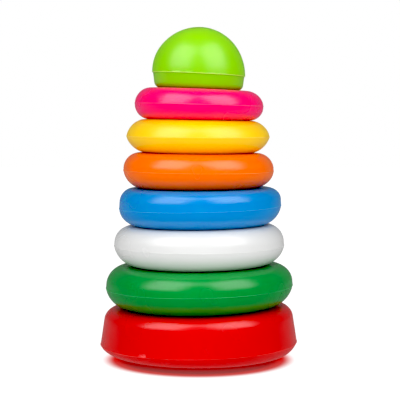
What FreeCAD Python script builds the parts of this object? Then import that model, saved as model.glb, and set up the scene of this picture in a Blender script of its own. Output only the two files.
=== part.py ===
"""Stacking ring toy: a base with a tapered stem, six hollow rings in falling sizes and a ball.

Frame: +Z up, origin at the centre of the underside of the base, millimetres.
Every piece is turned about the Z axis. The base, the rings and the ball are hollow
blow-moulded shells, and a thin line of flash runs round each one where its mould parted.
"""
import FreeCAD, Part

import math
import os
from collections import namedtuple

import Sketcher
from FreeCAD import Vector

# ---------------------------------------------------------------- driving dimensions

# Sizes that belong to one piece or to one fit, in millimetres and degrees.
SIZES = {
    # the base: its side leans in above the parting line, and its rim curls under below it
    "base_radius": 66.4,
    "base_height": 31.6,
    "base_seam_height": 7.2,
    "base_side_draft": 8.5,
    "base_under_draft": 24.0,
    "base_top_corner": 8.0,
    "base_foot_corner": 11.0,
    "recess_inset": 21.0,
    "recess_depth": 3.6,
    "recess_draft": 25.0,
    "recess_corner": 1.5,
    # the stem: a hollow tapered post, closed at both ends, held by the flange at its foot
    "stem_root_radius": 13.0,
    "stem_tip_radius": 9.0,
    "stem_tip_corner": 6.0,
    "stem_wall": 2.0,
    "stem_reach": 24.0,
    "flange_radius": 22.0,
    "flange_thickness": 2.0,
    "flange_corner": 0.6,
    # the ball: a dome above its parting line, and below it a shallow cup, a small step narrower
    "ball_radius": 31.2,
    "ball_step": 0.6,
    "ball_cup_height": 10.3,
    "ball_cup_draft": 7.0,
    "ball_cup_corner": 4.0,
    "socket_corner": 3.0,
    # what the blown shells share
    "shell_wall": 1.6,
    "hole_draft": 3.0,
    "hole_corner": 3.0,
    "flash_height": 0.3,
    "flash_width": 0.7,
    # clearances
    "stem_fit": 0.05,
    "hole_clearance": 1.5,
    "socket_clearance": 0.8,
    "socket_headroom": 3.0,
}

# The rings, from the base upwards. The heights are those above and below the parting line.
RING_FIELDS = (
    "radius",
    "upper_height",
    "lower_height",
    "upper_draft",
    "lower_draft",
    "upper_corner",
    "lower_corner",
)
RINGS = {
    "green": (63.1, 14.3, 13.9, 4.0, 12.0, 12.3, 16.0),
    "white": (57.3, 13.7, 13.3, 4.0, 10.0, 11.3, 15.5),
    "blue": (54.6, 12.9, 12.3, 3.0, 10.0, 8.8, 13.5),
    "orange": (50.6, 12.0, 11.5, 4.0, 10.0, 10.7, 13.0),
    "yellow": (48.1, 11.2, 10.9, 12.0, 15.0, 13.0, 14.2),
    "pink": (43.1, 10.3, 10.2, 6.0, 3.0, 11.0, 9.4),
}

SHEET_NAME = "Dimensions"
# A rounding stops just short of using up the side that it is on.
CORNER_LIMIT = 0.97
# The least rounding, in millimetres, that the cavity of a ring keeps beside its hole.
LEAST_HOLE_CORNER = 0.5
# A cavity takes away at least a tenth of its body.
MOST_LEFT_BY_CAVITY = 0.9

doc = FreeCAD.newDocument("stacking_ring_toy")
sheet = doc.addObject("Spreadsheet::Sheet", SHEET_NAME)


def fill_sheet():
    """Write each driving dimension into a cell of its own and give the cell its name."""
    named_sizes = dict(SIZES)
    for colour, values in RINGS.items():
        for field, value in zip(RING_FIELDS, values):
            named_sizes[f"{colour}_{field}"] = value
    for row, (name, value) in enumerate(named_sizes.items(), start=1):
        sheet.set(f"A{row}", name.replace("_", " "))
        sheet.set(f"B{row}", str(value))
        sheet.setAlias(f"B{row}", name)
    doc.recompute()


def size(name):
    """The expression that reads one driving dimension."""
    return f"{SHEET_NAME}.{name}"


def value_of(expression):
    """The number that an expression gives now."""
    return float(sheet.evalExpression(expression))


# ---------------------------------------------------------------- outlines in sketches

# A corner of an outline: where its two sides would meet, and how much it is rounded.
# dome_next joins it to the next corner with an arc that is centred on the axis.
Corner = namedtuple("Corner", "x z rounding dome_next", defaults=(None, False))

ORIGIN = -1
HORIZONTAL_AXIS = -1
VERTICAL_AXIS = -2
START = 1
END = 2
CENTRE = 3


def place_point(sketch, geometry, position, corner, name):
    """Hold a point of the sketch at the x and z that the corner's expressions give."""
    axes = (("x", corner.x, "DistanceX", VERTICAL_AXIS), ("z", corner.z, "DistanceY", HORIZONTAL_AXIS))
    for letter, expression, kind, axis in axes:
        if expression == "0":
            sketch.addConstraint(Sketcher.Constraint("PointOnObject", geometry, position, axis))
            continue
        distance = value_of(expression)
        constraint = Sketcher.Constraint(kind, ORIGIN, START, geometry, position, distance)
        sketch.addConstraint(constraint)
        constraint_name = f"{name}_{letter}"
        sketch.renameConstraint(sketch.ConstraintCount - 1, constraint_name)
        sketch.setExpression(f"Constraints.{constraint_name}", expression)


def corner_arc(before, point, after, radius):
    """The arc that rounds a corner, where it starts and ends, and whether it turns left."""
    to_before = (before - point).normalize()
    to_after = (after - point).normalize()
    half_angle = to_before.getAngle(to_after) / 2
    along_side = radius / math.tan(half_angle)
    first = point + to_before * along_side
    last = point + to_after * along_side
    middle_way = (to_before + to_after).normalize()
    centre = point + middle_way * (radius / math.sin(half_angle))
    turns_left = to_before.cross(to_after).z < 0
    from_point, to_point = (first, last) if turns_left else (last, first)
    start_angle = math.atan2(from_point.y - centre.y, from_point.x - centre.x)
    end_angle = math.atan2(to_point.y - centre.y, to_point.x - centre.x)
    circle = Part.Circle(centre, Vector(0, 0, 1), radius)
    return Part.ArcOfCircle(circle, start_angle, end_angle), first, last, turns_left


def draw_outline(sketch, corners):
    """Draw a closed outline, given by its corners in order, and bind every size of it."""
    count = len(corners)
    points = [Vector(value_of(corner.x), value_of(corner.z), 0) for corner in corners]
    arrives = list(points)
    leaves = list(points)
    arcs = {}

    for index, corner in enumerate(corners):
        if corner.rounding is None:
            continue
        radius = value_of(corner.rounding)
        neighbours = (points[index - 1], points[(index + 1) % count])
        arc, first, last, turns_left = corner_arc(neighbours[0], points[index], neighbours[1], radius)
        arrives[index] = first
        leaves[index] = last
        geometry = sketch.addGeometry(arc, False)
        ends = (START, END) if turns_left else (END, START)
        arcs[index] = (geometry, *ends)

    sides = []
    for index, corner in enumerate(corners):
        following = (index + 1) % count
        if corner.dome_next:
            centre = Vector(0, points[index].y, 0)
            circle = Part.Circle(centre, Vector(0, 0, 1), points[index].x)
            arc = Part.ArcOfCircle(circle, 0, math.pi / 2)
            side = sketch.addGeometry(arc, False)
            sketch.addConstraint(Sketcher.Constraint("PointOnObject", side, CENTRE, VERTICAL_AXIS))
        else:
            side = sketch.addGeometry(Part.LineSegment(leaves[index], arrives[following]), False)
        sides.append(side)

    for index, corner in enumerate(corners):
        side_before = sides[index - 1]
        side_after = sides[index]
        name = f"{sketch.Name}_corner{index}"
        if index not in arcs:
            joint = Sketcher.Constraint("Coincident", side_before, END, side_after, START)
            sketch.addConstraint(joint)
            place_point(sketch, side_after, START, corner, name)
            continue
        arc, arc_start, arc_end = arcs[index]
        sketch.addConstraint(Sketcher.Constraint("Tangent", side_before, END, arc, arc_start))
        sketch.addConstraint(Sketcher.Constraint("Tangent", arc, arc_end, side_after, START))
        sketch.addConstraint(Sketcher.Constraint("Radius", arc, value_of(corner.rounding)))
        sketch.renameConstraint(sketch.ConstraintCount - 1, f"{name}_radius")
        sketch.setExpression(f"Constraints.{name}_radius", corner.rounding)
        sharp = sketch.addGeometry(Part.Point(points[index]), True)
        sketch.addConstraint(Sketcher.Constraint("PointOnObject", sharp, START, side_before))
        sketch.addConstraint(Sketcher.Constraint("PointOnObject", sharp, START, side_after))
        place_point(sketch, sharp, START, corner, name)


# ---------------------------------------------------------------- bodies and turned features


def new_body(label):
    """An empty body that carries the piece's own name."""
    body = doc.addObject("PartDesign::Body", label)
    body.Label = label
    return body


def section_sketch(body, name, corners):
    """A sketch of half of a piece's section, on the upright plane through the axis."""
    planes = [feature for feature in body.Origin.OriginFeatures if feature.Role == "XZ_Plane"]
    sketch = body.newObject("Sketcher::SketchObject", f"{body.Name}_{name}")
    sketch.AttachmentSupport = (planes[0], [""])
    sketch.MapMode = "FlatFace"
    draw_outline(sketch, corners)
    return sketch


def turn(body, name, corners, kind="PartDesign::Revolution"):
    """Turn a section all the way round the axis, as added material or as a groove."""
    sketch = section_sketch(body, f"{name}_section", corners)
    feature = body.newObject(kind, f"{body.Name}_{name}")
    feature.Profile = sketch
    feature.ReferenceAxis = (sketch, ["V_Axis"])
    feature.Angle = 360
    doc.recompute()
    return feature


def hollow_out(body, corners):
    """Turn the cavity of a shell out of its body, and make sure that it took material away."""
    volume_before = body.Shape.Volume
    turn(body, "cavity", corners, kind="PartDesign::Groove")
    if body.Shape.Volume > volume_before * MOST_LEFT_BY_CAVITY:
        raise RuntimeError(f"{body.Label}: the cavity cut nothing")


def add_flash(body, radius, height, wall):
    """The thin ridge that the mould leaves round a shell, at its parting line."""
    half_width = f"{size('flash_width')} / 2"
    inner = f"{radius} - {wall} / 2"
    outer = f"{radius} + {size('flash_height')}"
    ridge = [
        Corner(inner, f"{height} - {half_width}"),
        Corner(outer, f"{height} - {half_width}"),
        Corner(outer, f"{height} + {half_width}"),
        Corner(inner, f"{height} + {half_width}"),
    ]
    turn(body, "flash", ridge)


def rounding_on_side(corner, side_height, draft, inset):
    """The rounding between a face and a leaning side, less where the side is too short for it."""
    longest = f"{CORNER_LIMIT} * ({side_height} - {inset}) / (1 - sin({draft}))"
    return f"min({corner} - {inset}; {longest})"


# ---------------------------------------------------------------- how the pieces stack up

BALL = "ball"
STACK_ORDER = (*RINGS, BALL)


def seat_height(piece):
    """The height of a piece's underside: the base and every ring below it."""
    terms = [size("base_height")]
    for colour in STACK_ORDER[:STACK_ORDER.index(piece)]:
        terms.append(size(f"{colour}_lower_height"))
        terms.append(size(f"{colour}_upper_height"))
    return "(" + " + ".join(terms) + ")"


def stem_top():
    """The height of the stem's tip, which reaches up into the ball."""
    return f"({seat_height(BALL)} + {size('stem_reach')})"


def stem_radius_at(height):
    """The radius of the tapered stem at a height above the base."""
    taper = f"({size('stem_root_radius')} - {size('stem_tip_radius')})"
    share = f"({height} - {size('base_height')}) / ({stem_top()} - {size('base_height')})"
    return f"({size('stem_root_radius')} - {taper} * {share})"


# ---------------------------------------------------------------- the base


def base_corners(inset):
    """The section of the base: its outside at no inset, its cavity at an inset of one wall."""
    radius = f"({size('base_radius')} - {inset})"
    seam = size("base_seam_height")
    bore = f"{size('stem_root_radius')} + {size('stem_fit')} + {inset}"
    top = f"{size('base_height')} - {inset}"
    side = f"({size('base_height')} - {seam})"
    side_draft = size("base_side_draft")
    under_draft = size("base_under_draft")
    ceiling = f"{size('recess_depth')} + {inset}"
    recess_lean = f"{size('recess_depth')} * tan({size('recess_draft')})"
    recess_edge = f"{size('base_radius')} - {size('recess_inset')} + {inset}"
    floor = "0" if inset == "0" else inset
    top_corner = rounding_on_side(size("base_top_corner"), side, side_draft, inset)
    foot_corner = rounding_on_side(size("base_foot_corner"), seam, under_draft, inset)
    return [
        Corner(radius, seam),
        Corner(f"{radius} - ({side} - {inset}) * tan({side_draft})", top, top_corner),
        Corner(bore, top),
        Corner(bore, ceiling),
        Corner(f"{recess_edge} - {recess_lean}", ceiling, size("recess_corner")),
        Corner(recess_edge, floor, size("recess_corner")),
        Corner(f"{radius} - ({seam} - {inset}) * tan({under_draft})", floor, foot_corner),
    ]


def make_base():
    """The base: a hollow disc with a bore for the stem and a recess for the stem's flange."""
    body = new_body("base")
    turn(body, "outside", base_corners("0"))
    add_flash(body, size("base_radius"), size("base_seam_height"), size("shell_wall"))
    hollow_out(body, base_corners(size("shell_wall")))
    return body


# ---------------------------------------------------------------- the stem


def make_stem():
    """The stem: a hollow post that tapers from the top of the base to a rounded tip.

    The flange at its foot lies against the ceiling of the base's recess, clear of the ground.
    """
    root = size("stem_root_radius")
    tip = size("stem_tip_radius")
    wall = size("stem_wall")
    shoulder = size("base_height")
    flange_top = size("recess_depth")
    flange_foot = f"{flange_top} - {size('flange_thickness')}"
    outside = [
        Corner("0", stem_top()),
        Corner("0", flange_foot),
        Corner(size("flange_radius"), flange_foot, size("flange_corner")),
        Corner(size("flange_radius"), flange_top, size("flange_corner")),
        Corner(root, flange_top),
        Corner(root, shoulder),
        Corner(tip, stem_top(), size("stem_tip_corner")),
    ]
    cavity = [
        Corner("0", f"{stem_top()} - {wall}"),
        Corner("0", f"{flange_foot} + {wall}"),
        Corner(f"{root} - {wall}", f"{flange_foot} + {wall}"),
        Corner(f"{root} - {wall}", shoulder),
        Corner(f"{tip} - {wall}", f"{stem_top()} - {wall}", f"{size('stem_tip_corner')} - {wall}"),
    ]
    body = new_body("stem")
    turn(body, "outside", outside)
    hollow_out(body, cavity)
    return body


# ---------------------------------------------------------------- the rings


def ring_corners(colour, inset):
    """The section of a ring: its outside at no inset, its cavity at an inset of one wall.

    The ring is widest at its parting line, and its hole is narrowest there.
    """
    radius = f"({size(f'{colour}_radius')} - {inset})"
    waist = f"({stem_radius_at(seat_height(colour))} + {size('hole_clearance')} + {inset})"
    upper = size(f"{colour}_upper_height")
    lower = size(f"{colour}_lower_height")
    upper_draft = size(f"{colour}_upper_draft")
    lower_draft = size(f"{colour}_lower_draft")
    hole_draft = size("hole_draft")
    hole_corner = f"max({size('hole_corner')} - {inset}; {LEAST_HOLE_CORNER})"
    top = f"{lower} + {upper} - {inset}"
    floor = "0" if inset == "0" else inset
    upper_corner = rounding_on_side(size(f"{colour}_upper_corner"), upper, upper_draft, inset)
    lower_corner = rounding_on_side(size(f"{colour}_lower_corner"), lower, lower_draft, inset)
    return [
        Corner(radius, lower),
        Corner(f"{radius} - ({upper} - {inset}) * tan({upper_draft})", top, upper_corner),
        Corner(f"{waist} + ({upper} - {inset}) * tan({hole_draft})", top, hole_corner),
        Corner(waist, lower),
        Corner(f"{waist} + ({lower} - {inset}) * tan({hole_draft})", floor, hole_corner),
        Corner(f"{radius} - ({lower} - {inset}) * tan({lower_draft})", floor, lower_corner),
    ]


def make_ring(colour):
    """One hollow ring, resting on the piece below it."""
    body = new_body(f"{colour}_ring")
    turn(body, "outside", ring_corners(colour, "0"))
    radius = size(f"{colour}_radius")
    add_flash(body, radius, size(f"{colour}_lower_height"), size("shell_wall"))
    hollow_out(body, ring_corners(colour, size("shell_wall")))
    body.setExpression("Placement.Base.z", seat_height(colour))
    return body


# ---------------------------------------------------------------- the ball


def ball_cup_radius():
    """The radius of the ball's cup at the parting line, a small step inside the dome."""
    return f"({size('ball_radius')} - {size('ball_step')})"


def ball_corners(inset, socket_inset):
    """The section of the ball: its outside at no inset, its cavity at an inset of one wall."""
    seam = size("ball_cup_height")
    dome = f"({size('ball_radius')} - {inset})"
    cup = f"({ball_cup_radius()} - {inset})"
    cup_draft = size("ball_cup_draft")
    socket = f"{stem_radius_at(seat_height(BALL))} + {size('socket_clearance')} + {inset}"
    socket_top = f"{size('stem_reach')} + {size('socket_headroom')} + {inset}"
    floor = "0" if inset == "0" else inset
    cup_corner = rounding_on_side(size("ball_cup_corner"), seam, cup_draft, inset)
    return [
        Corner(dome, seam, dome_next=True),
        Corner("0", f"{seam} + {dome}"),
        Corner("0", socket_top),
        Corner(socket, socket_top, f"{size('socket_corner')} + {socket_inset}"),
        Corner(socket, floor),
        Corner(f"{cup} - ({seam} - {inset}) * tan({cup_draft})", floor, cup_corner),
        Corner(cup, seam),
    ]


def make_ball():
    """The ball: a hollow dome and cup, with a socket in its underside that drops over the stem."""
    body = new_body(BALL)
    turn(body, "outside", ball_corners("0", "0"))
    add_flash(body, ball_cup_radius(), size("ball_cup_height"), size("shell_wall"))
    hollow_out(body, ball_corners(size("shell_wall"), size("shell_wall")))
    body.setExpression("Placement.Base.z", seat_height(BALL))
    return body


# ---------------------------------------------------------------- checks and files


def check_document(pieces):
    """Stop if any object failed to rebuild, or if a piece has no sound single solid."""
    for item in doc.Objects:
        if "Invalid" in item.State or "Error" in item.State:
            raise RuntimeError(f"{item.Name} failed: {item.State}")
        if item.isDerivedFrom("Sketcher::SketchObject") and not item.FullyConstrained:
            raise RuntimeError(f"{item.Name} isn't fully constrained")
    for piece in pieces:
        shape = piece.Shape
        if shape.isNull() or not shape.isValid() or len(shape.Solids) != 1:
            raise RuntimeError(f"{piece.Label} has no sound single solid")


def export(pieces):
    """Write each piece to a STEP file that carries its name."""
    os.makedirs("parts", exist_ok=True)
    for piece in pieces:
        piece.Shape.exportStep(f"parts/{piece.Label}.step")
        box = piece.Shape.optimalBoundingBox(False)
        spans = f"radius {box.XMax:.2f}, from {box.ZMin:.2f} up to {box.ZMax:.2f}"
        print(f"{piece.Label}: {spans}, volume {piece.Shape.Volume / 1000:.1f} cm3")


fill_sheet()
all_pieces = [make_base(), make_stem()]
for ring_colour in RINGS:
    all_pieces.append(make_ring(ring_colour))
all_pieces.append(make_ball())
doc.recompute()
check_document(all_pieces)
export(all_pieces)
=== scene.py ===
# %% [markdown]
# # A stacking ring toy in blown plastic
#
# The toy is a red base with a post, six hollow rings in falling sizes and a ball that caps the post.
# Every loose piece is blow-moulded: a soft tube of polyethylene is closed in a mould and blown out
# against its walls. That leaves rounded shoulders, a slightly wavy satin skin, fine lines up the wall
# where the tube was drawn, and a thin ragged line of flash where the two halves of the mould met.
#
# The sizes are fixed by a frame that was made before, so this lesson is about shape and finish only.
# Each piece is built in the place that the frame gives it.

# %% Load the frame and the tools
import math
from collections import namedtuple

import bmesh
import bpy
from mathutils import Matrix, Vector, noise


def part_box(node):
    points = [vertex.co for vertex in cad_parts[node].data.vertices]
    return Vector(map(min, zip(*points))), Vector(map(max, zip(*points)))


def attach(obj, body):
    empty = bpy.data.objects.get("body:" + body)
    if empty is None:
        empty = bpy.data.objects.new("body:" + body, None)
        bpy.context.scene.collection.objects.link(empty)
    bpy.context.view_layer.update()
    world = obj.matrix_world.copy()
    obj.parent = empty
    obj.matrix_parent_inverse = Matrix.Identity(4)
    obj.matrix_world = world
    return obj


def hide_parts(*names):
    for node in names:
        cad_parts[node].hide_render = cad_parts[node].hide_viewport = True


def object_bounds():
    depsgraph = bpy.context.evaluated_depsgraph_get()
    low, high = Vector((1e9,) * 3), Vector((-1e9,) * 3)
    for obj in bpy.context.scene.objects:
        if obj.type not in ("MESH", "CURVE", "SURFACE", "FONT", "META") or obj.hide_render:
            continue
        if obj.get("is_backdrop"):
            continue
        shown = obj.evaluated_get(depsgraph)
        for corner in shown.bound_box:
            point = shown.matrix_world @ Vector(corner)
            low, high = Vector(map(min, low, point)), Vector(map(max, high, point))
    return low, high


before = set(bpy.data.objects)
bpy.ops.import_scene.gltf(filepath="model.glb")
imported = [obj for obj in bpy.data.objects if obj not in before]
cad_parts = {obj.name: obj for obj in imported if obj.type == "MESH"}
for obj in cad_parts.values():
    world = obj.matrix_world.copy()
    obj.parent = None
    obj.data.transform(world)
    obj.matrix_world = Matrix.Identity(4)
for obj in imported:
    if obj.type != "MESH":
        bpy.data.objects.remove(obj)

cad_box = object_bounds()
print("nodes in the frame:", ", ".join(sorted(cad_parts)))
print("the toy stands", round((cad_box[1].z - cad_box[0].z) * 1000, 1), "mm high")

# %% [markdown]
# ## Reading a turned piece
#
# Every piece is turned about one upright axis, so three numbers place it: how far out its widest
# edge is, how high that edge lies, and how narrow its hole is. They could be typed in, but then a
# change to the frame would leave the looks behind. Reading them from the frame's own mesh keeps the
# two together.

# %% Radii and parting lines, read from the frame
MM = 0.001


def from_axis(point):
    """How far a point lies from the upright axis."""
    return math.hypot(point.x, point.y)


def parting_line(node):
    """The radius and the height of the widest edge of a node, in metres."""
    places = [vertex.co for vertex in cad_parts[node].data.vertices]
    widest = max(from_axis(place) for place in places)
    heights = [place.z for place in places if from_axis(place) > widest - 0.02 * MM]
    return widest, (min(heights) + max(heights)) / 2


def hole_radius(node):
    """The radius of the narrowest part of the hole through a node."""
    return min(from_axis(vertex.co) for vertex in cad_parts[node].data.vertices)


for node in sorted(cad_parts):
    radius, height = parting_line(node)
    print(f"{node}: widest {radius / MM:.1f} mm at a height of {height / MM:.1f} mm")

# %% [markdown]
# ## From an outline to a round shell
#
# A lathe turns a piece from half of its section, and Blender's spin operator does the same with a
# chain of edges. The chain here has only the corners that the section would have if nothing was
# rounded. The corners are rounded afterwards by bevelling the circles that they leave, one circle at
# a time, because each has a radius of its own. A chain with the round parts already in it would need
# many more points, and they would all have to move when a size changed.

# %% Turn an outline and round its corners
Corner = namedtuple("Corner", "radius height rounding", defaults=(0.0,))
SNAP = 0.004 * MM
WELD = 0.001 * MM


def turned(corners, steps):
    """A bmesh turned all the way round from an outline of corners."""
    shape = bmesh.new()
    dots = [shape.verts.new((corner.radius, 0, corner.height)) for corner in corners]
    chain = [shape.edges.new(pair) for pair in zip(dots, dots[1:] + dots[:1])]
    bmesh.ops.spin(
        shape, geom=dots + chain, cent=(0, 0, 0), axis=(0, 0, 1), dvec=(0, 0, 0),
        angle=math.tau, steps=steps, use_merge=True, use_duplicate=False,
    )
    bmesh.ops.remove_doubles(shape, verts=shape.verts, dist=WELD)
    bmesh.ops.recalc_face_normals(shape, faces=shape.faces)
    return shape


def circle_at(shape, corner):
    """The edges of the circle that a corner of the outline left."""
    def on_it(vertex):
        near = abs(from_axis(vertex.co) - corner.radius) < SNAP
        return near and abs(vertex.co.z - corner.height) < SNAP
    return [edge for edge in shape.edges if all(on_it(vertex) for vertex in edge.verts)]


def round_circle(shape, corner, before, after, segments):
    """Round one circle with the corner's own radius; before and after are its neighbours."""
    here = Vector((corner.radius, corner.height))
    one_side = Vector((before.radius, before.height)) - here
    other_side = Vector((after.radius, after.height)) - here
    half_angle = one_side.angle(other_side) / 2
    bmesh.ops.bevel(
        shape, geom=circle_at(shape, corner), offset=corner.rounding / math.tan(half_angle),
        offset_type="OFFSET", affect="EDGES", segments=segments, profile=0.5, material=-1,
        clamp_overlap=False,
    )


def round_corners(shape, corners, degrees_per_segment=8.0):
    """Round every corner of the outline that has a rounding."""
    count = len(corners)
    for index, corner in enumerate(corners):
        if corner.rounding:
            before, after = corners[index - 1], corners[(index + 1) % count]
            turn = 90.0 / degrees_per_segment
            segments = max(3, round(turn * min(1.0, corner.rounding / (6 * MM)) + 2))
            round_circle(shape, corner, before, after, segments)


# %% [markdown]
# ## Room for the skin to move
#
# A blown wall is never quite true: it shrinks more where it is thick, so wide faces ripple a little
# and the light slides over them unevenly. A bump in the material could suggest that, but it would not
# bend the outline or the edge of a highlight as the real wall does. So the long flat bands get extra
# loops first, and then each point moves in or out along its normal by a smooth noise.

# %% Extra loops and a gentle ripple
LONGEST_BAND = 3.2 * MM


def split_long_bands(shape):
    """Cut every band that is longer than it should be into shorter ones, all round."""
    groups = {}
    for edge in shape.edges:
        one, other = edge.verts
        same_height = abs(one.co.z - other.co.z) < SNAP
        same_radius = abs(from_axis(one.co) - from_axis(other.co)) < SNAP
        if not (same_height and same_radius) and edge.calc_length() > LONGEST_BAND:
            groups.setdefault(round(edge.calc_length() / (0.05 * MM)), []).append(edge)
    for edges in groups.values():
        cuts = math.ceil(edges[0].calc_length() / LONGEST_BAND) - 1
        bmesh.ops.subdivide_edges(shape, edges=edges, cuts=cuts, use_grid_fill=True)


def ripple(shape, depth, width, seed, resting_faces):
    """Move the points along their normals by a smooth noise, but not where the piece rests."""
    shape.normal_update()
    shift = Vector((seed * 7.3, seed * 3.1, seed * 1.7))
    moves = []
    for vertex in shape.verts:
        nearest = min(abs(vertex.co.z - face) for face in resting_faces)
        freedom = min(1.0, nearest / (4 * MM))
        height = noise.noise(vertex.co / width + shift, noise_basis="PERLIN_NEW")
        moves.append(vertex.normal * (height * depth * freedom))
    for vertex, move in zip(shape.verts, moves):
        vertex.co += move


# %% [markdown]
# ## The flash
#
# Where the mould halves meet, a little plastic is squeezed out. It is trimmed, but a thin ridge stays
# all the way round, higher in one place and almost gone in another. The outline of each piece has a
# small ridge there, and this step wears it down unevenly. The ridge's points also get a value named
# "flash", so that the material can make it paler: partly because it is thin and light goes through it,
# partly as a painted highlight along the line.

# %% Wear the flash down unevenly
FLASH_HEIGHT = 0.25 * MM
FLASH_WIDTH = 0.34 * MM
FLASH_PALENESS_AND_HIGHLIGHT = 0.55


def wear_flash(shape, wall_radius, height, seed, outward=1.0):
    """Pull the ridge that stands on a wall back towards it by an uneven amount."""
    layer = shape.verts.layers.float.get("flash") or shape.verts.layers.float.new("flash")
    worn = 0
    for vertex in shape.verts:
        stands_off = (from_axis(vertex.co) - wall_radius) * outward
        if abs(vertex.co.z - height) > FLASH_WIDTH or stands_off < FLASH_HEIGHT / 3:
            continue
        around = Vector((vertex.co.x, vertex.co.y, 0)).normalized()
        slow = noise.noise(around * 3.1 + Vector((0, 0, seed)))
        quick = noise.noise(around * 22.0 + Vector((0, 0, seed + 5)))
        left = min(1.0, max(0.3, 0.78 + 0.40 * slow + 0.16 * quick))
        vertex.co -= around * (stands_off * outward * (1 - left))
        vertex.co.z += 0.10 * MM * noise.noise(around * 9.0 + Vector((0, 0, seed + 9)))
        # The paler flash is partly a painted highlight along the ridge.
        vertex[layer] = FLASH_PALENESS_AND_HIGHLIGHT * left
        worn += 1
    return worn


# %% [markdown]
# ## How the stack leans
#
# The faces of blown rings are never quite parallel, so a stack of them wanders. Its parting lines tip
# one way and then the other by a degree or two, and each ring sits a little off the axis, because its
# hole is wider than the post. Turning the rings one by one would open gaps between them. Instead one
# smooth field tips everything by an angle that depends on the height alone, so two faces that touch
# are tipped alike and still touch.

# %% One leaning field for the whole stack
TIP_OF_PARTING_LINE = {
    "base": 0.8, "green_ring": 1.1, "white_ring": 0.2, "blue_ring": 1.2, "orange_ring": -0.5,
    "yellow_ring": -0.3, "pink_ring": -1.5, "ball": -2.8,
}
tip_stations = [(0.0, 0.0)]
for node, degrees in TIP_OF_PARTING_LINE.items():
    tip_stations.append((parting_line(node)[1], math.radians(degrees)))
tip_stations.append((cad_box[1].z, 0.0))


def tip_at(height):
    """The angle, in radians, by which the stack is tipped at a height."""
    for (low, low_tip), (high, high_tip) in zip(tip_stations, tip_stations[1:]):
        if low <= height <= high:
            share = (height - low) / (high - low)
            eased = share * share * (3 - 2 * share)
            return low_tip + (high_tip - low_tip) * eased
    return 0.0


def lean(shape):
    """Tip every point of a piece by the stack's own field."""
    for vertex in shape.verts:
        vertex.co.z += vertex.co.x * math.tan(tip_at(vertex.co.z))


for height, tip in tip_stations:
    print(f"at {height / MM:.0f} mm the stack is tipped by {math.degrees(tip):.1f} degrees")

# %% [markdown]
# ## Finishing a mesh
#
# Each finished shape becomes an object at the origin, with its place in its points. Faces are smooth
# across the rounded parts, and an angle decides where an edge stays crisp, such as along the flash.
# Each piece rides on the body that it belongs to and stands in for one node of the frame.

# %% Make an object, and hand it over to the frame
CRISP_ANGLE = math.radians(38)
toy_only = bpy.data.collections.new("toy_only")


def finished_piece(shape, name, node, body, material):
    """Turn a bmesh into a piece that replaces a node and moves with a body."""
    mesh = bpy.data.meshes.new(name)
    shape.to_mesh(mesh)
    shape.free()
    mesh.shade_smooth()
    mesh.set_sharp_from_angle(angle=CRISP_ANGLE)
    mesh.materials.append(material)
    piece = bpy.data.objects.new(name, mesh)
    bpy.context.scene.collection.objects.link(piece)
    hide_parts(node)
    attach(piece, body)
    toy_only.objects.link(piece)
    print(f"{name}: {len(mesh.polygons)} faces")
    return piece


# %% [markdown]
# ## The pigment
#
# Colour is mixed into the raw plastic as pellets, and it never spreads quite evenly: a blown wall has
# faint clouds of deeper and paler colour. The flash is paler still, partly its own plastic and partly a
# painted highlight. An image could hold that, but a noise in the object's own coordinates costs nothing
# and has no seams. It is used by every plastic here, so it is a node group with the two colours and the
# size of the clouds as its inputs.

# %% A node group for the pigment


def new_group(name, inputs, outputs):
    """An empty node group with named sockets; returns it with its input and output nodes."""
    group = bpy.data.node_groups.new(name, "ShaderNodeTree")
    for label, kind, value in inputs:
        socket = group.interface.new_socket(name=label, in_out="INPUT", socket_type=kind)
        socket.default_value = value
    for label, kind in outputs:
        group.interface.new_socket(name=label, in_out="OUTPUT", socket_type=kind)
    return group, group.nodes.new("NodeGroupInput"), group.nodes.new("NodeGroupOutput")


def math_node(tree, operation, first, second, clamp=False):
    """A Math node; each of its inputs is a socket or a number."""
    node = tree.nodes.new("ShaderNodeMath")
    node.operation = operation
    node.use_clamp = clamp
    for socket, source in zip(node.inputs, (first, second)):
        if isinstance(source, bpy.types.NodeSocket):
            tree.links.new(source, socket)
        else:
            socket.default_value = source
    return node.outputs[0]


def noise_node(tree, vector, scale, detail):
    """A 3-D noise with a scale that is a socket or a number."""
    node = tree.nodes.new("ShaderNodeTexNoise")
    node.noise_dimensions = "3D"
    node.inputs["Detail"].default_value = detail
    tree.links.new(vector, node.inputs["Vector"])
    if isinstance(scale, bpy.types.NodeSocket):
        tree.links.new(scale, node.inputs["Scale"])
    else:
        node.inputs["Scale"].default_value = scale
    return node.outputs["Fac"]


def mix_colours(tree, share, first, second):
    """A colour mix; the share is a socket."""
    node = tree.nodes.new("ShaderNodeMix")
    node.data_type = "RGBA"
    tree.links.new(share, node.inputs["Factor"])
    tree.links.new(first, node.inputs["A"])
    tree.links.new(second, node.inputs["B"])
    return node.outputs["Result"]


COLOUR = "NodeSocketColor"
NUMBER = "NodeSocketFloat"
pigment, pigment_in, pigment_out = new_group(
    "Pigment",
    [("Colour", COLOUR, (0.5, 0.5, 0.5, 1)), ("Deep Colour", COLOUR, (0.3, 0.3, 0.3, 1)),
     ("Flash Colour", COLOUR, (0.8, 0.8, 0.8, 1)), ("Clouds per Metre", NUMBER, 40.0),
     ("Cloudiness", NUMBER, 0.5), ("Flash", NUMBER, 0.0)],
    [("Colour", COLOUR)],
)
place = pigment.nodes.new("ShaderNodeTexCoord").outputs["Object"]
clouds = noise_node(pigment, place, pigment_in.outputs["Clouds per Metre"], 3.0)
deeper = math_node(pigment, "MULTIPLY", clouds, pigment_in.outputs["Cloudiness"], clamp=True)
wall_colour = mix_colours(
    pigment, deeper, pigment_in.outputs["Colour"], pigment_in.outputs["Deep Colour"]
)
with_flash = mix_colours(
    pigment, pigment_in.outputs["Flash"], wall_colour, pigment_in.outputs["Flash Colour"]
)
pigment.links.new(with_flash, pigment_out.inputs["Colour"])
print("node group:", pigment.name)

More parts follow.
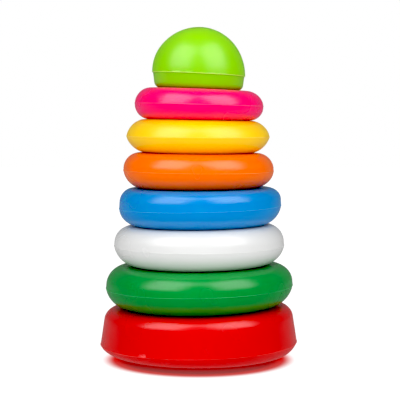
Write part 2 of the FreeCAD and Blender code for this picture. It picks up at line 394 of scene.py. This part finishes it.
# %% [markdown]
# ## The skin of the mould
#
# Two marks cover a blown wall. The tube of soft plastic is drawn through a ring-shaped die, which
# leaves fine lines along it: on these pieces they run up the wall, from the hole over the shoulder and
# down. And the mould itself is blasted with sand so that air can get out, which leaves the skin a
# little grainy. The lines depend only on the direction from the axis. An angle would jump where it
# starts again, so the group uses the direction itself, stretched to a large circle, and there is no
# seam anywhere.

# %% A node group for draw lines and grain
skin, skin_in, skin_out = new_group(
    "Mould Skin",
    [("Lines Around", NUMBER, 60.0), ("Line Depth", NUMBER, 0.00002),
     ("Grain per Metre", NUMBER, 700.0), ("Grain Depth", NUMBER, 0.00002)],
    [("Height", NUMBER)],
)
place = skin.nodes.new("ShaderNodeTexCoord").outputs["Object"]
flatten = skin.nodes.new("ShaderNodeVectorMath")
flatten.operation = "MULTIPLY"
flatten.inputs[1].default_value = (1, 1, 0)
skin.links.new(place, flatten.inputs[0])
direction = skin.nodes.new("ShaderNodeVectorMath")
direction.operation = "NORMALIZE"
skin.links.new(flatten.outputs["Vector"], direction.inputs[0])
lines = noise_node(skin, direction.outputs["Vector"], skin_in.outputs["Lines Around"], 1.5)
grain = noise_node(skin, place, skin_in.outputs["Grain per Metre"], 2.0)
line_height = math_node(skin, "MULTIPLY", lines, skin_in.outputs["Line Depth"])
grain_height = math_node(skin, "MULTIPLY", grain, skin_in.outputs["Grain Depth"])
total_height = math_node(skin, "ADD", line_height, grain_height)
skin.links.new(total_height, skin_out.inputs["Height"])
print("node group:", skin.name)

# %% [markdown]
# ## Satin, but not evenly
#
# Polyethylene is soft, so it is glossier where the mould was smooth and duller where hands and other
# toys have rubbed it. A single roughness looks like paint. This group wanders between a glossy and a
# dull value over patches of a few centimetres. The two values lie close together, because on a smooth
# shape like this one the eye sees even a small change of gloss.

# %% A node group for the satin finish
satin, satin_in, satin_out = new_group(
    "Satin",
    [("Glossy", NUMBER, 0.25), ("Dull", NUMBER, 0.4), ("Patches per Metre", NUMBER, 35.0)],
    [("Roughness", NUMBER)],
)
place = satin.nodes.new("ShaderNodeTexCoord").outputs["Object"]
patches = noise_node(satin, place, satin_in.outputs["Patches per Metre"], 2.0)
spread = satin.nodes.new("ShaderNodeMapRange")
spread.inputs["From Min"].default_value = 0.3
spread.inputs["From Max"].default_value = 0.7
satin.links.new(patches, spread.inputs["Value"])
satin.links.new(satin_in.outputs["Glossy"], spread.inputs["To Min"])
satin.links.new(satin_in.outputs["Dull"], spread.inputs["To Max"])
satin.links.new(spread.outputs["Result"], satin_out.inputs["Roughness"])
print("node group:", satin.name)

# %% [markdown]
# ## Blown polyethylene
#
# The plastic is milky: light goes a few millimetres into it and comes out again softened, so shadows
# between the rings glow with the colour of the plastic. That is subsurface scattering, and its reach
# is set in metres. The same function makes every colour, and the few values that differ are its
# arguments, so that all the pieces look like one toy.

# %% The plastic of the shells
def rgba(red, green, blue):
    """A colour from display values between 0 and 255."""
    def linear(value):
        share = value / 255
        return share / 12.92 if share <= 0.04045 else ((share + 0.055) / 1.055) ** 2.4
    return (linear(red), linear(green), linear(blue), 1.0)


POLYETHYLENE_IOR = 1.54
SHEEN = 0.72
SCATTER_REACH = 5.0 * MM
LINES_PER_MM_OF_RADIUS = 0.6
Plastic = namedtuple(
    "Plastic",
    "colour deep flash reach glossy dull line_depth grain_depth scatter",
    defaults=(0.255, 0.278, 0.010, 0.010, 0.5),
)


def blown_plastic(name, plastic, lines_around):
    """A milky satin plastic with clouds, draw lines, grain and a paler flash."""
    material = bpy.data.materials.new(name)
    material.use_nodes = True
    tree = material.node_tree
    shader = tree.nodes["Principled BSDF"]
    shader.inputs["IOR"].default_value = POLYETHYLENE_IOR
    shader.inputs["Specular IOR Level"].default_value = SHEEN
    shader.inputs["Subsurface Weight"].default_value = plastic.scatter
    shader.inputs["Subsurface Radius"].default_value = plastic.reach
    shader.inputs["Subsurface Scale"].default_value = SCATTER_REACH

    flash = tree.nodes.new("ShaderNodeAttribute")
    flash.attribute_name = "flash"
    colours = tree.nodes.new("ShaderNodeGroup")
    colours.node_tree = pigment
    colours.inputs["Colour"].default_value = plastic.colour
    colours.inputs["Deep Colour"].default_value = plastic.deep
    colours.inputs["Flash Colour"].default_value = plastic.flash
    tree.links.new(flash.outputs["Fac"], colours.inputs["Flash"])
    tree.links.new(colours.outputs["Colour"], shader.inputs["Base Color"])

    finish = tree.nodes.new("ShaderNodeGroup")
    finish.node_tree = satin
    finish.inputs["Glossy"].default_value = plastic.glossy
    finish.inputs["Dull"].default_value = plastic.dull
    tree.links.new(finish.outputs["Roughness"], shader.inputs["Roughness"])

    relief = tree.nodes.new("ShaderNodeGroup")
    relief.node_tree = skin
    relief.inputs["Lines Around"].default_value = lines_around
    relief.inputs["Line Depth"].default_value = plastic.line_depth * MM
    relief.inputs["Grain Depth"].default_value = plastic.grain_depth * MM
    bump = tree.nodes.new("ShaderNodeBump")
    bump.inputs["Distance"].default_value = 1.0
    tree.links.new(relief.outputs["Height"], bump.inputs["Height"])
    tree.links.new(bump.outputs["Normal"], shader.inputs["Normal"])
    return material


# The third colour of each plastic is its paler flash: partly thin plastic, partly a painted highlight.
PLASTICS = {
    "base": Plastic(rgba(217, 4, 10), rgba(198, 0, 2), rgba(255, 96, 88), (1.0, 0.12, 0.10),
                    line_depth=0.006, grain_depth=0.050),
    "green_ring": Plastic(rgba(0, 148, 60), rgba(0, 130, 48), rgba(90, 205, 140), (0.2, 1.0, 0.3),
                          line_depth=0.080, grain_depth=0.012),
    "white_ring": Plastic(rgba(217, 217, 216), rgba(215, 216, 217), rgba(242, 242, 240),
                          (1.0, 1.0, 1.0), line_depth=0.014, grain_depth=0.014),
    "blue_ring": Plastic(rgba(4, 139, 208), rgba(0, 122, 192), rgba(110, 200, 250), (0.1, 0.4, 1.0),
                         line_depth=0.070, grain_depth=0.008),
    "orange_ring": Plastic(rgba(251, 114, 8), rgba(246, 102, 0), rgba(255, 178, 104), (1.0, 0.4, 0.1),
                           line_depth=0.010, grain_depth=0.012),
    "yellow_ring": Plastic(rgba(253, 207, 28), rgba(250, 195, 18), rgba(255, 238, 140),
                           (1.0, 0.8, 0.2), line_depth=0.010, grain_depth=0.010,
                           glossy=0.316, dull=0.340),
    "pink_ring": Plastic(rgba(251, 18, 114), rgba(243, 8, 98), rgba(255, 140, 186), (1.0, 0.15, 0.4),
                         line_depth=0.006, grain_depth=0.006),
    "ball": Plastic(rgba(146, 212, 20), rgba(120, 198, 10), rgba(215, 244, 130), (0.5, 1.0, 0.1),
                    line_depth=0.004, grain_depth=0.008, scatter=0.7, glossy=0.316, dull=0.340),
}
materials = {}
for node, plastic in PLASTICS.items():
    around = parting_line(node)[0] / MM * LINES_PER_MM_OF_RADIUS
    materials[node] = blown_plastic(f"{node}_plastic", plastic, around)
print("plastics:", len(materials))

# %% [markdown]
# ## The rings
#
# Each ring is a hollow shell with a flat face above and below, so that it stacks, and a full round
# shoulder outside. Above the parting line the side stands almost upright, and below it the side draws
# in, which is why the stack looks lighter than its width. The hole is narrowest at the parting line,
# where the mould pinched the tube shut, and a trimmed web of flash is left there too. The outline
# takes its width, height, hole and parting line from the frame. Only the roundings and the slopes
# are set here.

# %% The outline of a ring
RingShape = namedtuple(
    "RingShape", "upper_slope lower_slope upper_rounding lower_rounding off_centre seed"
)
RING_SHAPES = {
    "green_ring": RingShape(4.0, 12.0, 12.3, 16.0, 0.45, 1),
    "white_ring": RingShape(4.0, 10.0, 11.3, 15.5, 0.3, 2),
    "blue_ring": RingShape(3.0, 10.0, 8.8, 13.5, 1.0, 3),
    "orange_ring": RingShape(4.0, 10.0, 10.7, 13.0, -0.1, 4),
    "yellow_ring": RingShape(12.0, 15.0, 13.0, 14.2, -0.45, 5),
    "pink_ring": RingShape(6.0, 3.0, 11.0, 9.4, 0.2, 6),
}
HOLE_SLOPE = math.tan(math.radians(3.0))
HOLE_ROUNDING = 3.0 * MM
WEB_HEIGHT = 0.35 * MM


def flash_ridge(radius, height, stands_off):
    """The four corners of a ridge on a wall, from its lower edge to its upper one."""
    half = FLASH_WIDTH / 2
    crest = half * 0.45
    return [
        Corner(radius, height - half),
        Corner(radius + stands_off, height - crest),
        Corner(radius + stands_off, height + crest),
        Corner(radius, height + half),
    ]


def ring_outline(node, shape):
    """The section of a ring, going round it from the foot of its outer side."""
    low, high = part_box(node)
    widest, seam = parting_line(node)
    wall = widest - FLASH_HEIGHT
    hole = hole_radius(node)
    above = high.z - seam
    below = seam - low.z
    upper_slope = math.tan(math.radians(shape.upper_slope))
    lower_slope = math.tan(math.radians(shape.lower_slope))
    web = flash_ridge(hole, seam, -WEB_HEIGHT)
    return [
        Corner(wall - below * lower_slope, low.z, shape.lower_rounding * MM),
        *flash_ridge(wall, seam, FLASH_HEIGHT),
        Corner(wall - above * upper_slope, high.z, shape.upper_rounding * MM),
        Corner(hole + above * HOLE_SLOPE, high.z, HOLE_ROUNDING),
        *reversed(web),
        Corner(hole + below * HOLE_SLOPE, low.z, HOLE_ROUNDING),
    ]


# %% Make the six rings
RING_STEPS = 256
WAVES = (0.16 * MM, 22 * MM)
PUCKERS = (0.012 * MM, 6 * MM)


def make_ring(node, shape):
    """One ring: turned, rounded, rippled, worn at its flash, and leaning with the stack."""
    low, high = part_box(node)
    widest, seam = parting_line(node)
    outline = ring_outline(node, shape)
    ring = turned(outline, RING_STEPS)
    round_corners(ring, outline)
    split_long_bands(ring)
    wear_flash(ring, widest - FLASH_HEIGHT, seam, shape.seed)
    wear_flash(ring, hole_radius(node), seam, shape.seed + 20, outward=-1.0)
    ripple(ring, *WAVES, shape.seed, (low.z, high.z))
    ripple(ring, *PUCKERS, shape.seed + 40, (low.z, high.z))
    lean(ring)
    bmesh.ops.translate(ring, vec=(shape.off_centre * MM, 0, 0), verts=ring.verts)
    colour = node.removesuffix("_ring")
    return finished_piece(ring, f"{colour}_blown_ring", node, node, materials[node])


for node, shape in RING_SHAPES.items():
    make_ring(node, shape)

# %% [markdown]
# ## The base
#
# The base is the widest shell. Its side leans in by eight or nine degrees and turns over into a broad
# rounded shoulder. Below the parting line the rim curls under to a narrower foot, which leaves a
# shadow line on the table. The underside is lifted in the middle, so that the flange of the post has
# room and the toy stands on a ring and does not rock. It is turned like the rings are.

# %% The outline of the base
BASE_SIDE_SLOPE = math.tan(math.radians(8.5))
BASE_UNDER_SLOPE = math.tan(math.radians(24.0))
BASE_TOP_ROUNDING = 8.0 * MM
BASE_FOOT_ROUNDING = 11.0 * MM
BASE_SEED = 11
RECESS_SLOPE = math.tan(math.radians(25.0))
RECESS_ROUNDING = 1.5 * MM
RECESS_INSET = 21.0 * MM
BORE_ROUNDING = 1.2 * MM

base_low, base_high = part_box("base")
base_widest, base_seam = parting_line("base")
base_wall = base_widest - FLASH_HEIGHT
bore = hole_radius("base")
flange_low, post_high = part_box("stem")
flange_radius = parting_line("stem")[0]
recess_top = max(
    vertex.co.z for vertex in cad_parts["stem"].data.vertices
    if from_axis(vertex.co) > flange_radius - 1.0 * MM
)
recess_edge = base_wall - RECESS_INSET
recess_foot = Corner(recess_edge, base_low.z, RECESS_ROUNDING)
recess_ceiling = Corner(recess_edge - recess_top * RECESS_SLOPE, recess_top, RECESS_ROUNDING)
foot_radius = base_wall - (base_seam - base_low.z) * BASE_UNDER_SLOPE
shoulder_radius = base_wall - (base_high.z - base_seam) * BASE_SIDE_SLOPE
base_outline = [
    Corner(foot_radius, base_low.z, BASE_FOOT_ROUNDING),
    *flash_ridge(base_wall, base_seam, FLASH_HEIGHT),
    Corner(shoulder_radius, base_high.z, BASE_TOP_ROUNDING),
    Corner(bore, base_high.z, BORE_ROUNDING),
    Corner(bore, recess_top),
    recess_ceiling,
    recess_foot,
]
print(f"the recess under the base is {recess_top / MM:.1f} mm deep")

# %% Make the base
BASE_STEPS = 288
BASE_WAVES = (0.20 * MM, 26 * MM)
BASE_PUCKERS = (0.03 * MM, 5 * MM)
base_shape = turned(base_outline, BASE_STEPS)
round_corners(base_shape, base_outline)
split_long_bands(base_shape)
wear_flash(base_shape, base_wall, base_seam, BASE_SEED)
ripple(base_shape, *BASE_WAVES, BASE_SEED, (base_low.z, base_high.z))
ripple(base_shape, *BASE_PUCKERS, BASE_SEED + 40, (base_low.z, base_high.z))
lean(base_shape)
finished_piece(base_shape, "base_blown_shell", "base", "base", materials["base"])

# %% [markdown]
# ## Growing a rim
#
# Not every round piece is best turned. The ball starts as half of a sphere, and the rest of it is
# grown from the open rim: each step extrudes the rim and moves the copy to a new radius and height.
# That keeps the dome perfectly round, and each step reads like the mould's own profile.

# %% Grow an open rim to a new radius and height
def open_rim(shape):
    """The edges that have a face on one side only."""
    return [edge for edge in shape.edges if edge.is_boundary]


def grow_rim(shape, radius, height):
    """Extrude the open rim, and move the new rim to a radius and a height."""
    grown = bmesh.ops.extrude_edge_only(shape, edges=open_rim(shape))["geom"]
    fresh = [item for item in grown if isinstance(item, bmesh.types.BMVert)]
    scale = radius / from_axis(fresh[0].co)
    bmesh.ops.scale(shape, vec=(scale, scale, 1), verts=fresh)
    bmesh.ops.translate(shape, vec=(0, 0, height - fresh[0].co.z), verts=fresh)


def close_rim(shape):
    """Close the open rim with one face, split into a fan round its middle."""
    cap = bmesh.ops.edgeloop_fill(shape, edges=open_rim(shape))["faces"]
    bmesh.ops.poke(shape, faces=cap)


# %% [markdown]
# ## The ball
#
# The ball isn't a full sphere. Above its parting line it is a true dome. Below it the mould stepped in
# by a little over half a millimetre and drew in to a flat underside, so that the ball sits on the last
# ring instead of rolling. A socket in the underside drops over the tip of the post. The plastic is the
# milkiest of all, and its lip of flash catches the light.

# %% Make the ball
BALL_STEPS = 224
BALL_STEP = 0.6 * MM
CUP_SLOPE = math.tan(math.radians(7.0))
CUP_ROUNDING = 4.0 * MM
SOCKET_ROUNDING = 3.0 * MM
SOCKET_MOUTH_ROUNDING = 1.0 * MM
LIP = 0.16 * MM
LIP_TOP = 0.10 * MM
LIP_FOOT = 0.40 * MM
CUP_TOP = 0.70 * MM
DOME_RINGS = 96
BALL_SEED = 31
BALL_WAVES = (0.12 * MM, 20 * MM)

ball_low, ball_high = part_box("ball")
dome_radius = parting_line("ball")[0]
ball_seam = ball_high.z - dome_radius
socket_radius = min(
    from_axis(vertex.co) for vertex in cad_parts["ball"].data.vertices
    if vertex.co.z < ball_low.z + 1.0 * MM
)
socket_top = min(
    vertex.co.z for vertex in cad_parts["ball"].data.vertices if from_axis(vertex.co) < 1.0 * MM
)
cup_radius = dome_radius - BALL_STEP
cup_foot = Corner(cup_radius - (ball_seam - ball_low.z) * CUP_SLOPE, ball_low.z, CUP_ROUNDING)
socket_mouth = Corner(socket_radius, ball_low.z, SOCKET_MOUTH_ROUNDING)
socket_end = Corner(socket_radius, socket_top, SOCKET_ROUNDING)

ball = bmesh.new()
bmesh.ops.create_uvsphere(ball, u_segments=BALL_STEPS, v_segments=DOME_RINGS, radius=dome_radius)
everything = ball.verts[:] + ball.edges[:] + ball.faces[:]
bmesh.ops.bisect_plane(
    ball, geom=everything, dist=WELD, plane_co=(0, 0, 0), plane_no=(0, 0, 1), clear_inner=True
)
bmesh.ops.translate(ball, vec=(0, 0, ball_seam), verts=ball.verts)
for radius, height in (
    (dome_radius + LIP, ball_seam - LIP_TOP),
    (dome_radius + LIP, ball_seam - LIP_FOOT),
    (cup_radius, ball_seam - CUP_TOP),
    (cup_foot.radius, cup_foot.height),
    (socket_mouth.radius, socket_mouth.height),
    (socket_end.radius, socket_end.height),
    (socket_end.radius / 4, socket_end.height),
):
    grow_rim(ball, radius, height)
close_rim(ball)
bmesh.ops.recalc_face_normals(ball, faces=ball.faces)
cup_top = Corner(cup_radius, ball_seam - CUP_TOP)
round_circle(ball, cup_foot, cup_top, socket_mouth, 8)
round_circle(ball, socket_mouth, cup_foot, socket_end, 3)
round_circle(ball, socket_end, socket_mouth, Corner(0, socket_top), 6)
split_long_bands(ball)
print(f"the dome is {2 * dome_radius / MM:.1f} mm across; the socket is {2 * socket_radius / MM:.1f} mm")

# %% Give the ball its lip and its place in the stack
lip_layer = ball.verts.layers.float.new("flash")
for vertex in ball.verts:
    stands_off = from_axis(vertex.co) - dome_radius
    if stands_off > LIP / 2:
        around = Vector((vertex.co.x, vertex.co.y, 0)).normalized()
        left = 0.55 + 0.9 * noise.noise(around * 7.0 + Vector((0, 0, BALL_SEED)))
        vertex.co -= around * (stands_off * (1 - min(1.0, max(0.0, left))))
        # The lip's paler colour is partly a painted highlight.
        vertex[lip_layer] = FLASH_PALENESS_AND_HIGHLIGHT
ripple(ball, *BALL_WAVES, BALL_SEED, (ball_low.z,))
lean(ball)
finished_piece(ball, "ball_blown_cap", "ball", "ball", materials["ball"])

# %% [markdown]
# ## The post
#
# The post holds the stack together, and it only shows when the rings come off. It is blown too, but in
# a mould that opened sideways, because a long thin shape can't be drawn out along its length. So its
# parting lines run up it, one in front and one behind. It is left the natural milky white of the
# plastic. A cone is the right start for it: the taper is there at once, and the foot and the flange
# are grown from its lower rim.

# %% The plastic of the post
post_plastic = Plastic(
    rgba(231, 229, 220), rgba(222, 219, 208), rgba(244, 242, 236), (1.0, 0.95, 0.85),
    glossy=0.348, dull=0.372, line_depth=0.004, grain_depth=0.010, scatter=0.25,
)
materials["stem"] = blown_plastic("stem_plastic", post_plastic, bore / MM)

# %% Make the post
POST_STEPS = 192
TIP_RADIUS = 9.0 * MM
TIP_ROUNDING = 6.0 * MM
POST_PARTING_LINE = 0.14 * MM
POST_FIT = 0.05 * MM
root_radius = bore - POST_FIT
post_tip = Corner(TIP_RADIUS, post_high.z, TIP_ROUNDING)
post_foot = Corner(root_radius, base_high.z)

post = bmesh.new()
length = post_tip.height - post_foot.height
bmesh.ops.create_cone(
    post, cap_ends=False, segments=POST_STEPS, radius1=root_radius, radius2=TIP_RADIUS, depth=length
)
middle = (post_tip.height + post_foot.height) / 2
bmesh.ops.translate(post, vec=(0, 0, middle), verts=post.verts)
upper_rim = [edge for edge in open_rim(post) if edge.verts[0].co.z > middle]
tip_face = bmesh.ops.edgeloop_fill(post, edges=upper_rim)["faces"]
bmesh.ops.inset_region(post, faces=tip_face, thickness=TIP_RADIUS * 0.8, use_even_offset=True)
bmesh.ops.poke(post, faces=[face for face in post.faces if len(face.verts) > 4])
flange_edge = Corner(flange_radius, recess_top)
flange_rim = Corner(flange_radius, flange_low.z)
for corner in (Corner(root_radius, recess_top), flange_edge, flange_rim):
    grow_rim(post, corner.radius, corner.height)
grow_rim(post, flange_radius / 4, flange_low.z)
close_rim(post)
bmesh.ops.recalc_face_normals(post, faces=post.faces)
round_circle(post, post_tip, post_foot, Corner(0, post_tip.height), 9)
split_long_bands(post)
print(f"the post tapers from {2 * root_radius / MM:.0f} to {2 * TIP_RADIUS / MM:.0f} mm")

# %% Raise the post's parting lines
ridge_layer = post.verts.layers.float.new("flash")
for vertex in post.verts:
    on_line = abs(vertex.co.x) < 0.02 * MM and from_axis(vertex.co) > TIP_RADIUS / 3
    if on_line and vertex.co.z > base_high.z + 1.0 * MM:
        around = Vector((0, vertex.co.y, 0)).normalized()
        wear = 0.7 + 0.6 * noise.noise(Vector((0, around.y, vertex.co.z / (9 * MM))))
        vertex.co += around * (POST_PARTING_LINE * wear)
        # The paler ridge is partly a painted highlight.
        vertex[ridge_layer] = 0.7
finished_piece(post, "stem_blown_post", "stem", "base", materials["stem"])

# %% [markdown]
# ## The floor
#
# A toy like this is shown on a pale sweep of paper that is lit until it is almost white. A large plane
# is enough, and it ends a little in front of the toy. The paper glows by itself from just outside the
# foot. Nearer in, it is darkened through red to dark red: a painted shadow with a painted red tint,
# most of it a little in front of the toy and a thin ring round the foot. The toy itself is lit by the
# paper glowing evenly instead, and its glossy skin mirrors a dimmer one.

# %% Make the floor
PAPER_WIDTH = 4.0
PAPER_FRONT = -0.26
PAPER_BACK = 3.0
# A painted shadow: a dark red pool on the paper, centred a little in front of the toy.
PAINTED_SHADOW_MIDDLE = (0, -25 * MM, 0)
PAINTED_SHADOW_FADES_FROM = 48 * MM
PAINTED_SHADOW_GONE_AT = 65 * MM
FOOT_SHADOW_SHORTER_BY = 6 * MM
PAINTED_SHADOW_UNDER_FOOT = (0.2, 0, 0, 1)
PAINTED_RED_SHADOW = (0.5, 0.01, 0.008, 1)
PAINTED_RED_SHADOW_AT = 0.42
BOUNCED_GLOW = 0.78
NOT_MIRRORED = 0.55

floor_mesh = bmesh.new()
bmesh.ops.create_grid(floor_mesh, x_segments=1, y_segments=1, size=0.5)
depth = PAPER_BACK - PAPER_FRONT
bmesh.ops.scale(floor_mesh, vec=(PAPER_WIDTH, depth, 1), verts=floor_mesh.verts)
bmesh.ops.translate(floor_mesh, vec=(0, PAPER_FRONT + depth / 2, 0), verts=floor_mesh.verts)
floor_data = bpy.data.meshes.new("floor")
floor_mesh.to_mesh(floor_data)
floor_mesh.free()
floor = bpy.data.objects.new("floor", floor_data)
bpy.context.scene.collection.objects.link(floor)

paper = bpy.data.materials.new("paper")
paper.use_nodes = True
tree = paper.node_tree
paper_shader = tree.nodes["Principled BSDF"]
paper_shader.inputs["Roughness"].default_value = 0.9
paper_shader.inputs["Specular IOR Level"].default_value = 0.1
paper_shader.inputs["Emission Strength"].default_value = 1.0
paper_shader.inputs["Base Color"].default_value = (0.4, 0.4, 0.4, 1)
away = tree.nodes.new("ShaderNodeVectorMath")
away.operation = "DISTANCE"
away.inputs[1].default_value = PAINTED_SHADOW_MIDDLE
place = tree.nodes.new("ShaderNodeTexCoord").outputs["Object"]
tree.links.new(place, away.inputs[0])
reach = tree.nodes.new("ShaderNodeMapRange")
reach.inputs["From Min"].default_value = PAINTED_SHADOW_FADES_FROM
reach.inputs["From Max"].default_value = PAINTED_SHADOW_GONE_AT
round_foot = tree.nodes.new("ShaderNodeVectorMath")
round_foot.operation = "LENGTH"
tree.links.new(place, round_foot.inputs[0])
from_foot = math_node(tree, "ADD", round_foot.outputs["Value"], FOOT_SHADOW_SHORTER_BY)
nearest = math_node(tree, "MINIMUM", away.outputs["Value"], from_foot)
tree.links.new(nearest, reach.inputs["Value"])
# This ramp paints the shadow: dark red under the foot, red further out, then white paper.
painted_shadow_ramp = tree.nodes.new("ShaderNodeValToRGB")
painted_shadow_ramp.color_ramp.interpolation = "EASE"
painted_shadow_ramp.color_ramp.elements[0].color = PAINTED_SHADOW_UNDER_FOOT
painted_shadow_ramp.color_ramp.elements[1].color = (1, 1, 1, 1)
painted_red_shadow_stop = painted_shadow_ramp.color_ramp.elements.new(PAINTED_RED_SHADOW_AT)
painted_red_shadow_stop.color = PAINTED_RED_SHADOW
tree.links.new(reach.outputs["Result"], painted_shadow_ramp.inputs["Fac"])
light_path = tree.nodes.new("ShaderNodeLightPath")
held_back = math_node(tree, "MULTIPLY", light_path.outputs["Is Glossy Ray"], NOT_MIRRORED)
bounced = math_node(tree, "SUBTRACT", BOUNCED_GLOW, held_back)
# Camera rays see the painted shadow; other rays see the paper glowing evenly, dimmer in mirrors.
shown = mix_colours(tree, light_path.outputs["Is Camera Ray"], bounced, painted_shadow_ramp.outputs["Color"])
tree.links.new(shown, paper_shader.inputs["Emission Color"])
floor_data.materials.append(paper)
floor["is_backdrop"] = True
print("floor:", round(floor.dimensions.x, 1), "m wide")

# %% [markdown]
# ## The light
#
# Two large softboxes stand left and right of the toy, a little in front of it and above it. They give
# each ring its pair of soft highlights. A third one fills the grooves from beside the camera, and the
# skin doesn't mirror it. The lamps are linked to the toy, so they leave the paper alone. The room is
# white where the camera sees it and dim for the toy, which keeps the colours deep. A small black level
# in the view curve gives the deeper blacks of a print.

# %% Set up the softboxes
SOFTBOX_DISTANCE = 1.0
SOFTBOX_SIZE = (0.85, 1.0)
SOFTBOX_POWER = 6.4
SOFTBOX_SIDE = 48
SOFTBOX_ELEVATION = 42
FILL_POWER = 5.6
FILL_ELEVATION = 5
LIGHT_TARGET = Vector((0, 0, 0.11))


def softbox(name, side_angle, elevation, power):
    """An area light at an angle from the camera's side of the toy, aimed at its middle."""
    light = bpy.data.lights.new(name, "AREA")
    light.shape = "RECTANGLE"
    light.size, light.size_y = SOFTBOX_SIZE
    light.energy = power
    lamp = bpy.data.objects.new(name, light)
    bpy.context.scene.collection.objects.link(lamp)
    lamp.light_linking.receiver_collection = toy_only
    around, up = math.radians(side_angle), math.radians(elevation)
    way = Vector((math.sin(around) * math.cos(up), -math.cos(around) * math.cos(up), math.sin(up)))
    lamp.location = LIGHT_TARGET + way * SOFTBOX_DISTANCE
    lamp.rotation_euler = (-way).to_track_quat("-Z", "Y").to_euler()
    return lamp


softbox("softbox_left", -SOFTBOX_SIDE, SOFTBOX_ELEVATION, SOFTBOX_POWER)
softbox("softbox_right", SOFTBOX_SIDE, SOFTBOX_ELEVATION, SOFTBOX_POWER)
fill = softbox("fill", 0, FILL_ELEVATION, FILL_POWER)
fill.visible_glossy = False

# %% Light the room
ROOM_LIGHT = 0.25
BLACK_LEVEL = 0.035
world = bpy.data.worlds.new("studio")
bpy.context.scene.world = world
world.use_nodes = True
room = world.node_tree
backdrop = room.nodes["Background"]
ray = room.nodes.new("ShaderNodeLightPath")
seen = math_node(room, "MAXIMUM", ray.outputs["Is Camera Ray"], ROOM_LIGHT)
room.links.new(seen, backdrop.inputs["Strength"])
backdrop.inputs["Color"].default_value = (1, 1, 1, 1)
print_look = bpy.context.scene.view_settings
print_look.view_transform = "Standard"
print_look.use_curve_mapping = True
print_look.curve_mapping.black_level = (BLACK_LEVEL, BLACK_LEVEL, BLACK_LEVEL)
print_look.curve_mapping.update()

# %% [markdown]
# ## The camera
#
# A long lens from about nine tenths of a metre keeps the rings from bulging. The camera stands a little
# above the middle of the toy and looks slightly down, so the lower rings show their curve and the
# ball is seen almost level.

# %% Set up the camera
CAMERA_DISTANCE = 0.8756
CAMERA_HEIGHT = 0.1616
CAMERA_SIDE = 0.0009
CAMERA_LENS = 117.0
CAMERA_TILT = math.radians(3.79)
camera_data = bpy.data.cameras.new("camera")
camera_data.lens = CAMERA_LENS
camera = bpy.data.objects.new("camera", camera_data)
bpy.context.scene.collection.objects.link(camera)
camera.location = (CAMERA_SIDE, -CAMERA_DISTANCE, CAMERA_HEIGHT)
camera.rotation_euler = (math.pi / 2 - CAMERA_TILT, 0, 0)
bpy.context.scene.camera = camera

# %% [markdown]
# ## The size of the finished toy
#
# The looks mustn't change the size of the toy. The box of the frame and the box of the finished pieces
# are printed one after the other, so that they can be compared.

# %% Print both boxes
visual_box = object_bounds()
boxes = {"cad": [list(corner) for corner in cad_box], "visual": [list(corner) for corner in visual_box]}
for name, (low, high) in boxes.items():
    print(name, [round((top - bottom) / MM, 2) for bottom, top in zip(low, high)], "mm")
